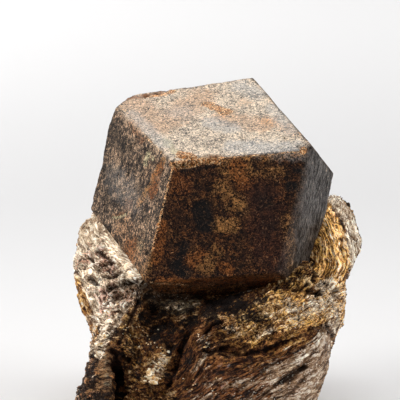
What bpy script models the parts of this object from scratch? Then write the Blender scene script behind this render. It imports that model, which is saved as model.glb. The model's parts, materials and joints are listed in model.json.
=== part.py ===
"""Garnet in matrix: one large garnet crystal, a slightly uneven rhombic dodecahedron with worn edges,
held in a lump of foliated mica schist that is cut off flat underneath.

Run it with:  blender --background --python part.py
It leaves two objects, garnet_crystal and schist_matrix. Lengths are in metres, +Z is up, the specimen
faces -Y, and the origin is in the middle of its footprint.
"""

from math import radians

import bmesh
import bpy
from mathutils import Euler, Matrix, Vector, noise

MM = 0.001

# The crystal. Face distances are shares of its radius, measured from its centre.
CRYSTAL_RADIUS = 20.0 * MM
CRYSTAL_HEIGHT = 43.0 * MM  # its centre, above the cut base
CRYSTAL_TURN = (113.1, -36.2, -45.8)  # degrees about X, Y and Z, from its cubic axes
EDGE_WEAR = 0.45 * MM
EDGE_TURN = 20  # edges that turn by more than this many degrees are worn
CRYSTAL_FACES = {
    "crown": ((0.98, 1.02, -0.03), 0.828),
    "left_flank": ((0.05, 0.99, 1.01), 0.911),
    "front": ((0.99, 0.01, 1.01), 0.928),
    "right_flank": ((1.02, -0.98, -0.03), 1.087),
    "right_back": ((1.01, -0.04, -0.99), 1.039),
    "crown_back": ((-0.04, 1.04, -0.95), 1.085),
    "left_back": ((-0.99, 1.01, -0.02), 0.988),
    "left_under": ((-1.02, 0.02, 0.98), 0.945),
    "front_under": ((-0.03, -0.97, 1.03), 1.028),
    "under": ((-1.0, -1.0, 0.0), 0.97),
    "right_under": ((0.03, -0.98, -1.02), 0.731),
    "back": ((-1.0, 0.0, -1.0), 0.97),
}
# The edge between the front and the right flank is rubbed to a narrow facet, wider downwards.
RUBBED_AT_MM = (12.2, -19.9, 35.9)
RUBBED_FACING = (0.73, -0.68, -0.05)
# Chips knocked out of its edges: centre and half sizes in mm, and turn about Y in degrees.
CHIPS_MM = [
    ((-3.6, -17.6, 55.7), (4.2, 1.7, 1.7), -5),
    ((-8.1, -18.3, 55.6), (2.6, 2.3, 2.5), 20),
    ((19.1, -16.1, 58.3), (2.8, 2.6, 2.7), 35),
]

# The rock: blocks that overlap, each the hull of its corners and of the lump's heart. Corners are in mm
# from the point of the base that lies under the crystal's centre, and those below 0 are cut off there.
HEART_MM = (0, 2, 26)
ROCK_BLOCKS_MM = {
    "left_shoulder": [
        (-22, -1, 40.5), (-25, -0.5, 38), (-27, -5.5, 33), (-27, -9.5, 30), (-20.5, -9, 38.5),
        (-13.5, -22, 34), (-14, -22, 33), (-19.5, -19, 30.5), (-25, 12, 34), (-26.5, 9.5, 28),
        (-25, 7, 23),
    ],
    "left_flank": [
        (-26.5, -10, 30), (-25, -14.5, 26.5), (-21, -17.5, 31), (-17, -21, 32.5), (-13.5, -22.5, 33),
        (-12.5, -23, 29.5), (-13.5, -23.5, 26), (-16, -25.5, 24), (-19.5, -24.5, 23), (-21, -22, 23),
        (-24.5, 10, 22), (-22, 8, 10.5),
    ],
    "left_neck": [
        (-21.5, -20, 23), (-20, -24.5, 24), (-16.5, -25.5, 23.5), (-23, -15.5, 19), (-22.5, -17.5, 16),
        (-21.5, -23, 19), (-19, -25, 20.5), (-15.5, -26.5, 20), (-21, 1.5, 14.5), (-22.5, -0.5, 10),
    ],
    "lower_left_block": [
        (-22, -21, 17), (-28.5, -21.5, 5.5), (-29, -21.5, -2), (-19.5, -25, 21), (-18.5, -26.5, 19.5),
        (-19, -30, 13), (-18.5, -34, 1.5), (-24, -32, 0.5), (-23, -26.5, 14.5), (-21.5, -3, 12),
        (-27, -2.5, -4.5), (-18.5, -12, -1),
    ],
    "valley_floor": [
        (-16.5, -23, 22.5), (-17, -31.5, 0.5), (-11.5, -25.5, 21), (-11.5, -27.5, 17), (-8.5, -32, 0.5),
        (-1.5, -20, 23), (-1.5, -30, 0), (-2.5, -25, 15), (-15, -21.5, 25.5), (-11.5, -21, 26),
        (-3, -20.5, 26),
    ],
    "under_ledge": [
        (-12.5, -19.5, 29), (-10, -19.5, 29.5), (-1.5, -19.5, 29), (-2.5, -20.5, 28.5), (-10.5, -21, 29),
        (-11.5, -21, 25), (-4.5, -21, 24.5), (-2.5, -20, 25.5),
    ],
    "right_block_top": [
        (-4.5, -24, 23), (-1.5, -24.5, 26.5), (2, -27.5, 25.5), (9, -28.5, 24.5), (13, -27.5, 25.5),
        (19.5, -23, 26.5), (23, -18.5, 24.5), (24.5, -13.5, 24), (25, -11, 25.5), (24.5, -9, 29),
        (-2, -19, 29), (13, -16.5, 31), (16, -19, 30.5),
    ],
    "overhang_band": [
        (-1.5, -25, 23), (3, -28, 23.5), (9, -28.5, 23.5), (16, -25.5, 24.5), (21, -22, 25),
        (9.5, -29.5, 20), (14, -27.5, 21.5), (21, -21.5, 22.5), (-1.5, -31, 13.5), (-3, -27.5, 17.5),
    ],
    "lower_face": [
        (23.5, -18, 22), (14.5, -25.5, -2), (21, -22, 23), (13.5, -28, 21.5), (5, -30.5, 18.5),
        (-1.5, -33, 13.5), (-4, -32.5, 8), (-6, -33, 0.5), (13.5, -30, 13), (9, -33, 8), (8.5, -33.5, 1),
        (22, 0.5, 14), (17, -3, 0),
    ],
    "left_ridges": [
        (-5.5, -25, 21), (-10, -29.5, 10.5), (-2.5, -24.5, 24.5), (-1.5, -26.5, 22.5), (-4.5, -33, 8),
        (-1.5, -31.5, 13.5), (-1.5, -32.5, 6),
    ],
    "right_lip": [
        (12.5, -17, 31.5), (17, -17.5, 34), (18.5, -15, 35), (20, -15, 33.5), (17, -19.5, 31),
        (14.5, -19, 30.5), (19.5, -18, 30),
    ],
    "right_shoulder": [
        (22, -0.5, 43.9), (25, 4.5, 40.4), (21.5, -7.5, 43.4), (23.5, -4.5, 41.6), (25, -8, 35.5),
        (24, -11.5, 30.5), (20, -12.5, 31.5), (28.5, 1.5, 34), (28.5, 0, 32), (25, -7, 29),
        (23.5, 12.5, 40), (26.5, 14.5, 35), (28, 12.5, 31), (26.5, 9.5, 27.5),
    ],
    "right_flank": [
        (24.5, -7.5, 29.5), (25, -13, 23.5), (23.5, -17, 21.5), (20, -13, 31.5), (23, -12, 30.5),
        (22, -17.5, 28.5), (23, -18.5, 25), (21.5, -21.5, 24.5), (25, 9.5, 24.5), (24.5, 8, 16),
        (20.5, 8, 11.5),
    ],
    "back_wall": [
        (-22.5, 8, 38), (-25, 12, 33), (-26, 10.5, 27.5), (-22, 13, 38), (-18.5, 19.5, 35.5),
        (-12.5, 23.5, 35.5), (-4.5, 25.5, 36), (14, 23.5, 38.5), (22, 17.5, 39), (24.5, 14, 38),
        (27.5, 14, 33), (27, 11.5, 27.5), (-21.5, 10.5, 20), (-20, 14.5, 12.5), (-12.5, 19, 17.5),
        (3.5, 22, 18.5), (15, 15.5, 12.5), (23, 8, 14.5),
    ],
    "back_foot": [
        (-20, 12.5, 19.5), (-12.5, 17.5, 11.5), (-21.5, 12, -5), (-17.5, 15, -1), (3.5, 17, -1),
        (15, 13, -0.5), (17.5, 3.5, -6.5), (5.5, 18, 17.5), (19, 11, 14), (-24, 3.5, 2),
    ],
    "pedestal": [
        (-18, 9, 25), (-20.5, 12, 11), (24, 8, 26), (-18, 3, 23), (-27.5, -4, -3.5), (-28, -21.5, -2),
        (-25.5, 1.5, -5.5), (-19, -30, 0), (-2.5, -32.5, 0.5), (13.5, -25.5, -1.5), (16, -0.5, -5),
        (22.5, -2.5, 18.5), (13, 12.5, -3.5), (-18.5, 10.5, -3), (23.5, 4.5, 22), (-12, -14, 21.5),
        (16.5, -14, 21.5),
    ],
}
# A deep crack left of the middle, open to the front: the hull of its corners.
CLEFT_MM = [
    (-19, -29.5, 21), (-15.5, -30, 18), (-19.5, -32.5, 14), (-15, -33, 13.5), (-20, -38, -2),
    (-14.5, -38, -2), (-17.5, -25, 18.5), (-17, -22.5, 10.5), (-17.5, -25, -2),
]
# Grooves worn along cracks and between layers: points in mm, then width and depth in mm.
GROOVES_MM = [
    ([(-11.6, -20.5, 28)], 1.7, 1.6),
    ([(2.5, -28.5, 22.2), (9, -29.5, 21.8), (16, -27, 23), (20.5, -22.5, 23.8)], 1.6, 1.0),
    ([(-3, -23, 24.5), (-6.5, -25.5, 18), (-9.5, -28, 10)], 1.6, 1.3),
    ([(-19, -21, 30.4), (-15.5, -22, 31.4)], 1.5, 1.2),
    ([(22, -11, 33.5), (20.5, -14, 31)], 1.8, 1.5),
]
VOXEL = 0.7 * MM
ROUNDING = 0.5  # how much each step of smoothing rounds the blocks' corners
ROUNDING_STEPS = 2
LAYER = 3.4 * MM  # thickness of the schist's layers
LAYER_LEAN = Vector((0.25, 0.10, 0.10))  # the layers wrap round the crystal and lean this way
LAYER_WARP = 2.2 * MM
LAYER_WARP_SIZE = 18.0 * MM
LAYER_PROBE = 0.6 * MM  # how far out the layers are looked up again, to see how they meet the surface
LEDGE = 1.5 * MM  # how far broken layers stand out where they meet the surface edge-on
LEDGE_LENGTH = 16.0 * MM
LEDGE_DRIFT = Vector((0.62, 0.31, 0.72))  # moves the noise from one layer to the next
FLAT_LEDGE = 0.35  # share of the ledges' height left where the layers lie along the surface
LUMP = 1.4 * MM
LUMP_SIZE = 11.0 * MM
LUMP_SHIFT = Vector((3, 1, 7))
BEHIND = 12.0 * MM  # lumps are twice as big past this distance behind the crystal's centre
PIT = 0.9 * MM
PIT_SIZE = 4.5 * MM
PIT_SHIFT = Vector((9, 4, 2))
PIT_LEVEL = 0.15  # noise above this makes a pit
ROCK_TRIANGLES = 7200
SEAT_GAP = 0.3 * MM  # between the crystal and its socket
MERGE = 0.01 * MM
GARNET_COLOUR = (0.13, 0.07, 0.045)
GARNET_ROUGHNESS = 0.45
SCHIST_COLOUR = (0.20, 0.14, 0.09)
SCHIST_ROUGHNESS = 0.7

CENTRE = Vector((0, 0, CRYSTAL_HEIGHT))


def clear_scene():
    for old in list(bpy.data.objects):
        bpy.data.objects.remove(old)


def mineral(name, colour, roughness):
    """A plain Principled material of one colour."""
    made = bpy.data.materials.new(name)
    made.use_nodes = True
    shader = made.node_tree.nodes["Principled BSDF"]
    shader.inputs["Base Color"].default_value = (*colour, 1.0)
    shader.inputs["Roughness"].default_value = roughness
    shader.inputs["Metallic"].default_value = 0.0
    return made


def new_object(name, bm):
    mesh = bpy.data.meshes.new(name)
    bm.to_mesh(mesh)
    bm.free()
    made = bpy.data.objects.new(name, mesh)
    bpy.context.collection.objects.link(made)
    return made


def apply_modifiers(target):
    """Replaces the object's mesh by the one that its modifiers give."""
    graph = bpy.context.evaluated_depsgraph_get()
    shaped = bpy.data.meshes.new_from_object(target.evaluated_get(graph))
    target.modifiers.clear()
    target.data = shaped


def cut_away(bm, point, normal):
    """Removes what lies beyond a plane, and closes the cut with one face."""
    everything = bm.verts[:] + bm.edges[:] + bm.faces[:]
    cut = bmesh.ops.bisect_plane(bm, geom=everything, plane_co=point, plane_no=normal, clear_outer=True)
    rim = [part for part in cut["geom_cut"] if isinstance(part, bmesh.types.BMEdge)]
    if rim:
        bmesh.ops.edgenet_fill(bm, edges=rim)


def crystal_shape(growth=0.0):
    """A big cube cut down by the crystal's twelve faces, each moved out by the growth."""
    bm = bmesh.new()
    bmesh.ops.create_cube(bm, size=5 * CRYSTAL_RADIUS)
    turn = Euler([radians(angle) for angle in CRYSTAL_TURN]).to_matrix()
    for direction, share in CRYSTAL_FACES.values():
        normal = Vector(direction).normalized()
        cut_away(bm, normal * (share * CRYSTAL_RADIUS + growth), normal)
    bmesh.ops.remove_doubles(bm, verts=bm.verts, dist=MERGE)
    bm.transform(Matrix.Translation(CENTRE) @ turn.to_4x4())
    rubbed = Vector(RUBBED_FACING).normalized()
    cut_away(bm, Vector(RUBBED_AT_MM) * MM + rubbed * growth, rubbed)
    bm.normal_update()
    bmesh.ops.recalc_face_normals(bm, faces=bm.faces)
    return bm


def cutter(name, bm):
    """A helper that only cuts others."""
    made = new_object(name, bm)
    made.hide_render = True
    made.display_type = "WIRE"
    return made


def subtract(target, tool):
    cut = target.modifiers.new("cut_" + tool.name, "BOOLEAN")
    cut.operation = "DIFFERENCE"
    cut.solver = "EXACT"
    cut.object = tool


def build_crystal():
    crystal = new_object("garnet_crystal", crystal_shape())
    wear = crystal.modifiers.new("worn_edges", "BEVEL")
    wear.width = EDGE_WEAR
    wear.segments = 2
    wear.limit_method = "ANGLE"
    wear.angle_limit = radians(EDGE_TURN)
    for number, (place, half, turn) in enumerate(CHIPS_MM):
        bm = bmesh.new()
        bmesh.ops.create_icosphere(bm, subdivisions=2, radius=1.0)
        bm.transform(
            Matrix.Translation(Vector(place) * MM)
            @ Matrix.Rotation(radians(turn), 4, "Y")
            @ Matrix.Diagonal([size * MM for size in half] + [1.0])
        )
        subtract(crystal, cutter(f"chip_{number}", bm))
    crystal.data.materials.append(mineral("garnet", GARNET_COLOUR, GARNET_ROUGHNESS))
    return crystal


def layer_depth(place):
    """How deep a place lies in the pile of layers, which wrap round the crystal."""
    off = place - CENTRE
    warp = noise.noise(off / LAYER_WARP_SIZE) * LAYER_WARP
    return off.length + LAYER_LEAN.dot(off) + warp


def groove_depth(place):
    """How far the grooves push this place in."""
    deepest = 0.0
    for points, width, depth in GROOVES_MM:
        route = [Vector(point) * MM for point in points]
        nearest = min((place - point).length for point in route)
        for start, end in zip(route, route[1:]):
            along = end - start
            share = max(0.0, min(1.0, (place - start).dot(along) / along.length_squared))
            nearest = min(nearest, (place - start - along * share).length)
        reach = 1 - (nearest / (width * MM)) ** 2
        if reach > 0:
            deepest = max(deepest, depth * MM * reach)
    return deepest


def weather(rock):
    """Moves each point of the rock along its normal: lumps, broken layers, pits and grooves."""
    mesh = rock.data
    moves = []
    for vertex in mesh.vertices:
        place, normal = vertex.co.copy(), vertex.normal.copy()
        off = place - CENTRE
        depth = layer_depth(place)
        slope = abs(layer_depth(place + normal * LAYER_PROBE) - depth) / LAYER_PROBE
        edge_on = max(0.0, 1 - slope)
        layers = noise.noise(off / LEDGE_LENGTH + LEDGE_DRIFT * (depth / LAYER))
        pits = max(0.0, noise.noise(off / PIT_SIZE + PIT_SHIFT) - PIT_LEVEL)
        behind = min(1.0, max(0.0, off.y / BEHIND))
        push = LUMP * (1 + behind) * noise.noise(off / LUMP_SIZE + LUMP_SHIFT)
        push += LEDGE * layers * (FLAT_LEDGE + (1 - FLAT_LEDGE) * edge_on)
        push -= PIT * pits + groove_depth(place)
        moves.append(place + normal * push)
    for vertex, place in zip(mesh.vertices, moves):
        vertex.co = place
    mesh.update()


def add_hull(bm, corners):
    points = [bm.verts.new(Vector(corner) * MM) for corner in corners]
    hull = bmesh.ops.convex_hull(bm, input=points)
    bmesh.ops.delete(bm, geom=hull["geom_interior"], context="VERTS")


def build_rock():
    bm = bmesh.new()
    for corners in ROCK_BLOCKS_MM.values():
        add_hull(bm, [HEART_MM, *corners])
    rock = new_object("schist_matrix", bm)
    fuse = rock.modifiers.new("fuse_blocks", "REMESH")
    fuse.mode = "VOXEL"
    fuse.voxel_size = VOXEL
    ease = rock.modifiers.new("ease_corners", "SMOOTH")
    ease.factor = ROUNDING
    ease.iterations = ROUNDING_STEPS
    apply_modifiers(rock)
    weather(rock)
    thin = rock.modifiers.new("thin_out", "DECIMATE")
    thin.ratio = ROCK_TRIANGLES / (2 * len(rock.data.polygons))
    apply_modifiers(rock)

    bm = bmesh.new()
    bm.from_mesh(rock.data)
    cut_away(bm, Vector((0, 0, 0)), Vector((0, 0, -1)))
    bmesh.ops.triangulate(bm, faces=bm.faces)
    bmesh.ops.recalc_face_normals(bm, faces=bm.faces)
    bm.to_mesh(rock.data)
    bm.free()
    bm = bmesh.new()
    add_hull(bm, CLEFT_MM)
    bmesh.ops.recalc_face_normals(bm, faces=bm.faces)
    subtract(rock, cutter("cleft", bm))
    subtract(rock, cutter("socket", crystal_shape(SEAT_GAP)))
    rock.data.materials.append(mineral("mica_schist", SCHIST_COLOUR, SCHIST_ROUGHNESS))
    return rock


def centre_on_footprint(pieces):
    """Moves the pieces together, so that the middle of their box is over the origin."""
    graph = bpy.context.evaluated_depsgraph_get()
    corners = []
    for piece in pieces:
        shaped = piece.evaluated_get(graph)
        corners += [shaped.matrix_world @ Vector(corner) for corner in shaped.bound_box]
    middle = [(min(c[axis] for c in corners) + max(c[axis] for c in corners)) / 2 for axis in (0, 1)]
    for made in bpy.data.objects:
        made.location -= Vector((middle[0], middle[1], 0))


def main():
    clear_scene()
    crystal = build_crystal()
    rock = build_rock()
    for piece in (crystal, rock):
        piece.data.shade_flat()
    centre_on_footprint([crystal, rock])


main()
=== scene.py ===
import json
from math import cos, radians, sin
from random import Random

import bpy
import numpy as np
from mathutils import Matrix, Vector, noise
from mathutils.bvhtree import BVHTree

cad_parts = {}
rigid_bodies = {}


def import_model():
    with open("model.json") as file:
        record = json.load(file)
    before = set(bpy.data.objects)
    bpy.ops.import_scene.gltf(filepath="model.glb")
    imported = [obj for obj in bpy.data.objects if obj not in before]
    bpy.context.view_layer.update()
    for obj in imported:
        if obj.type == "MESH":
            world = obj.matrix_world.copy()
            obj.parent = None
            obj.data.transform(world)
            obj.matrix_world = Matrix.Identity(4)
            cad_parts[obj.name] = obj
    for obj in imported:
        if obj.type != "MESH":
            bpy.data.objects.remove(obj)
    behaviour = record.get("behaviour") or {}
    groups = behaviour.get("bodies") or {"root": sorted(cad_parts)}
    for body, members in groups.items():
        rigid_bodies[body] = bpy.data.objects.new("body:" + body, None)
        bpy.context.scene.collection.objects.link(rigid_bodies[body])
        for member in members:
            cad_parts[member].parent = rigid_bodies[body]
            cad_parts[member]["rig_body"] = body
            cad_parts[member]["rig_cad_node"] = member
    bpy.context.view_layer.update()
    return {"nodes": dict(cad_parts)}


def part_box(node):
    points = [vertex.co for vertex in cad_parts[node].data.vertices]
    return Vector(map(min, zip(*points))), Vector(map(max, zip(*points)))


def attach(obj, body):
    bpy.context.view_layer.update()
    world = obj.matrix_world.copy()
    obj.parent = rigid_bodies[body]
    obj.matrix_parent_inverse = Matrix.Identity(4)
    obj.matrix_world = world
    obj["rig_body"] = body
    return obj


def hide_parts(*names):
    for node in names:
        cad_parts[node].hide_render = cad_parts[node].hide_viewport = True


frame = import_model()
mm = 0.001

# The middle of the crystal's twelve faces, a little off the middle of its box.
crystalLow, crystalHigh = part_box("garnet_crystal")
heart = (crystalLow + crystalHigh) / 2 + Vector((0.302, -0.547, 0.73)) * mm

view = {
    "elevation": 15,  # degrees above level
    "distance": 667 * mm,  # from the heart of the crystal
    "lens": 315.1,
    "sensor": 36.0,
    "sideways": -2.48 * mm,  # sets the specimen a little right of the middle
    "points": 400,  # the frame is this many points wide and high
}
forward = Vector((0, cos(radians(view["elevation"])), -sin(radians(view["elevation"]))))
upward = Vector((0, sin(radians(view["elevation"])), cos(radians(view["elevation"]))))
eye = heart - forward * view["distance"] + Vector((view["sideways"], 0, 0))
pointSize = view["sensor"] / view["lens"] * view["distance"] / view["points"]


def addCamera():
    bpy.ops.object.camera_add(location=eye, rotation=(radians(90 - view["elevation"]), 0, 0))
    camera = bpy.context.active_object
    camera.name = "viewCamera"
    camera.data.lens = view["lens"]
    camera.data.sensor_width = view["sensor"]
    camera.data.clip_start = 0.05
    bpy.context.scene.camera = camera


def rayThrough(point):
    across = (point[0] - view["points"] / 2) * pointSize
    up = (view["points"] / 2 - point[1]) * pointSize
    return (forward * view["distance"] + Vector((across, 0, 0)) + upward * up).normalized()


def seenAt(tree, point):
    # where the line of sight through a point of the frame meets a surface
    ray = rayThrough(point)
    place, normal, _, _ = tree.ray_cast(eye, ray)
    if place is None:  # just past the outline: the nearest place on it
        place, normal, _, _ = tree.find_nearest(eye + ray * view["distance"])
    return place, normal


def hitsOf(tree, points):
    return [seenAt(tree, point)[0] for point in points]


# Each light: direction from the heart, distance and width in metres, power in watts, colour.
lights = {
    "topBack": dict(towards=(-0.09, 0.64, 0.76), away=0.90, size=0.42, watts=2.0, colour=(1, 0.985, 0.96)),
    "overhead": dict(towards=(0.08, 0.05, 1.0), away=1.00, size=0.80, watts=5.6, colour=(1, 1, 1)),
    "left": dict(towards=(-0.90, -0.20, 0.42), away=0.90, size=0.50, watts=6.2, colour=(1, 0.98, 0.95)),
    "right": dict(towards=(0.88, -0.15, 0.42), away=0.90, size=0.45, watts=4.2, colour=(1, 0.99, 0.97)),
    "front": dict(towards=(-0.25, -0.95, 0.55), away=1.10, size=0.50, watts=0.8, colour=(1, 0.98, 0.95)),
    # shines straight down on the floor behind
    "backFloor": dict(towards=(-0.60, 0.90, 0.55), away=0.60, size=0.40, watts=0.80, colour=(1, 1, 1),
                      turned=(0, 0, 0)),
}
room = {"colour": (1, 1, 1, 1), "strength": 0.05}


def addLights():
    for name, one in lights.items():
        towards = Vector(one["towards"]).normalized()
        bpy.ops.object.light_add(type="AREA", location=heart + towards * one["away"])
        lamp = bpy.context.active_object
        lamp.name = name
        lamp.rotation_euler = one.get("turned") or towards.to_track_quat("Z", "Y").to_euler()
        lamp.data.size = one["size"]
        lamp.data.energy = one["watts"]
        lamp.data.color = one["colour"]
    world = bpy.data.worlds.new("paleRoom")
    world.use_nodes = True
    background = world.node_tree.nodes["Background"]
    background.inputs["Color"].default_value = room["colour"]
    background.inputs["Strength"].default_value = room["strength"]
    bpy.context.scene.world = world
    bpy.context.scene.view_settings.view_transform = "Standard"


# A wire is one socket of a node, and sums of wires add Math nodes.
class Wire:
    def __init__(self, shade, socket):
        self.shade = shade
        self.socket = socket

    def maths(self, operation, *others):
        values = dict(enumerate((self, *others)))
        return self.shade.node("Math", {"operation": operation}, values)

    def __add__(self, other):
        return self.maths("ADD", other)

    def __mul__(self, other):
        return self.maths("MULTIPLY", other)

    def __sub__(self, other):
        return self.maths("SUBTRACT", other)

    def __rsub__(self, other):
        return self.shade.node("Math", {"operation": "SUBTRACT"}, {0: other, 1: self})

    def __truediv__(self, other):
        return self.maths("DIVIDE", other)

    __radd__ = __add__
    __rmul__ = __mul__

    def clamped(self):
        return self.shade.node("Clamp", {}, {0: self})

    def clampedTo(self, low, high):
        return self.shade.node("Clamp", {}, {0: self, 1: low, 2: high})

    def over(self, level, soft):
        # 0 below the level, 1 above it, with a soft step between
        return self.shade.node("MapRange", {"interpolation_type": "SMOOTHSTEP"},
                               {0: self, 1: level - soft, 2: level + soft, 3: 0.0, 4: 1.0})


class Shade:
    def __init__(self, name, colours):
        self.colours = colours
        self.material = bpy.data.materials.new(name)
        self.material.use_nodes = True
        self.tree = self.material.node_tree
        self.tree.nodes.clear()
        self.place = self.scaled(self.node("TexCoord", {}, {}, "Object"), 1 / mm)  # in mm

    def node(self, kind, settings, values, output=0):
        made = self.tree.nodes.new("ShaderNode" + kind)
        for name, value in settings.items():
            setattr(made, name, value)
        for key, value in values.items():
            if isinstance(value, Wire):
                self.tree.links.new(value.socket, made.inputs[key])
            else:
                made.inputs[key].default_value = value
        return Wire(self, made.outputs[output]) if made.outputs else None

    def scaled(self, vector, share):
        # a vector or a colour times a number
        return self.node("VectorMath", {"operation": "SCALE"}, {0: vector, 3: share})

    def moved(self, vector, offset):
        return self.node("VectorMath", {"operation": "ADD"}, {0: vector, 1: offset})

    def mixed(self, share, first, second):
        # each colour is a wire, or the name of one of the material's colours
        values = {0: share}
        for key, colour in ((6, first), (7, second)):
            values[key] = colour if isinstance(colour, Wire) else (*self.colours[colour], 1)
        return self.node("Mix", {"data_type": "RGBA"}, values, 2)

    def painted(self, *names):
        return [self.node("Attribute", {"attribute_name": name}, {}, "Fac") for name in names]

    def speckle(self, size, detail=3.0, rough=0.6, shift=0.0, twist=0.0, place=None):
        # noise from 0 to 1 around 0.5, with blobs of this size in mm
        vector = self.moved(place or self.place, (shift, shift * 0.7, -shift * 1.3))
        return self.node("TexNoise", {"noise_dimensions": "3D"},
                         {"Vector": vector, "Scale": 1 / size, "Detail": detail, "Roughness": rough,
                          "Distortion": twist})

    def drawnOut(self, direction, times):
        # the place in mm, squeezed along one direction, so that a pattern on it is drawn out that way
        direction = Vector(direction).normalized()
        along = self.node("VectorMath", {"operation": "DOT_PRODUCT"}, {0: self.place, 1: direction}, "Value")
        shift = self.scaled(direction, along * (1 - 1 / times))
        return self.node("VectorMath", {"operation": "SUBTRACT"}, {0: self.place, 1: shift})

    def strokes(self, along, across, wire, shift=0.0, detail=3.0, rough=0.6):
        # noise drawn out along the layers: along and across are its sizes in mm
        return self.node("TexNoise", {"noise_dimensions": "4D"},
                         {"Vector": self.moved(self.scaled(self.place, 1 / along), (shift, 0, -shift)),
                          "W": wire / across, "Scale": 1.0, "Detail": detail, "Roughness": rough,
                          "Distortion": 0.25})

    def grit(self, size, shift=0.0):
        # a random level for each grain of this size in mm, from 0 to 1
        cells = self.node("TexVoronoi", {"feature": "F1"},
                          {"Vector": self.moved(self.place, (shift, 0, -shift)), "Scale": 1 / size}, "Color")
        return self.node("SeparateColor", {}, {0: cells})

    def covered(self, pattern, coverage, soft=0.05):
        # where a pattern shows, for a coverage from 0 to 1 painted on the piece
        return (pattern + coverage * 0.46).over(0.73, soft)

    def finished(self, colour, roughness, normal, extras):
        values = {"Base Color": colour, "Roughness": roughness, "Normal": normal, **extras}
        shader = self.node("BsdfPrincipled", {}, values)
        self.node("OutputMaterial", {}, {"Surface": shader})
        return self.material


def deselectAll():
    if bpy.context.mode != "OBJECT":
        bpy.ops.object.mode_set(mode="OBJECT")
    bpy.ops.object.select_all(action="DESELECT")


def makeActive(piece):
    deselectAll()
    piece.select_set(True)
    bpy.context.view_layer.objects.active = piece


def copyNode(nodeName, pieceName):
    makeActive(frame["nodes"][nodeName])
    bpy.ops.object.duplicate()
    piece = bpy.context.active_object
    piece.name = piece.data.name = pieceName
    piece.parent = None
    del piece["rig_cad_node"], piece["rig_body"]
    bpy.ops.object.mode_set(mode="EDIT")
    bpy.ops.mesh.select_all(action="SELECT")
    bpy.ops.mesh.remove_doubles(threshold=0.01 * mm)
    bpy.ops.object.mode_set(mode="OBJECT")
    return piece


def remesh(piece, size):
    makeActive(piece)
    piece.data.remesh_voxel_size = size
    piece.data.remesh_voxel_adaptivity = 0
    bpy.ops.object.voxel_remesh()


def thin(piece, triangles):
    # collapses edges until this many triangles are left
    makeActive(piece)
    fewer = piece.modifiers.new("fewer", "DECIMATE")
    fewer.ratio = min(1.0, triangles / (2 * len(piece.data.polygons)))
    bpy.ops.object.modifier_apply(modifier="fewer")
    print(piece.name + ": triangles:", sum(len(face.vertices) - 2 for face in piece.data.polygons))


def cornersOf(piece):
    flat = np.empty(len(piece.data.vertices) * 3)
    piece.data.vertices.foreach_get("co", flat)
    return flat.reshape(-1, 3)


def normalsOf(piece):
    flat = np.empty(len(piece.data.vertices) * 3)
    piece.data.vertex_normals.foreach_get("vector", flat)
    return flat.reshape(-1, 3)


def setCorners(piece, places):
    piece.data.vertices.foreach_set("co", places.reshape(-1).astype(np.float32))
    piece.data.update()


def treeOf(piece):
    return BVHTree.FromObject(piece, bpy.context.evaluated_depsgraph_get())


def paintAttribute(piece, name, values):
    layer = piece.data.attributes.new(name, "FLOAT", "POINT")
    layer.data.foreach_set("value", np.clip(values, -100, 100).astype(np.float32))


def rough(places, size, shift=(0, 0, 0)):
    # smooth noise from -1 to 1 at each place, with lumps of this size
    return np.array([noise.noise(place) for place in (places / size + np.array(shift)).tolist()])


def fractal(places, size, octaves, shift=(0, 0, 0)):
    # the same with finer lumps on it, each octave 2.1 times finer and about half as high
    spots = (places / size + np.array(shift)).tolist()
    return np.array([noise.fractal(spot, 0.9, 2.1, octaves) for spot in spots])


def ease(values, low, high):
    # 0 below low, 1 above high, with a smooth step between
    share = np.clip((values - low) / (high - low), 0, 1)
    return share * share * (3 - 2 * share)


def spotMask(places, tree, spots, wobble):
    # how far each place is inside a set of spots: (points, size in mm, strength)
    mask = np.zeros(len(places))
    for points, size, strength in spots:
        apart = apartFrom(places, tree, points, size)
        mask = np.maximum(mask, strength * ease(1.5 - apart + 0.5 * wobble, 0, 1))
    return mask


def apartFrom(places, tree, points, reach):
    # how far each place is from a route through points of the frame, in reaches of so many mm
    return alongRoute(places, hitsOf(tree, points)) / (reach * mm)


def alongRoute(places, route):
    # distance of each place from a line through points in space
    nearest = np.full(len(places), 1.0)
    if len(route) == 1:
        return np.linalg.norm(places - np.array(route[0]), axis=1)
    for start, end in zip(route, route[1:]):
        start, end = np.array(start), np.array(end)
        along = end - start
        share = np.clip((places - start) @ along / (along @ along), 0, 1)
        nearest = np.minimum(nearest, np.linalg.norm(places - start - share[:, None] * along, axis=1))
    return nearest


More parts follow.
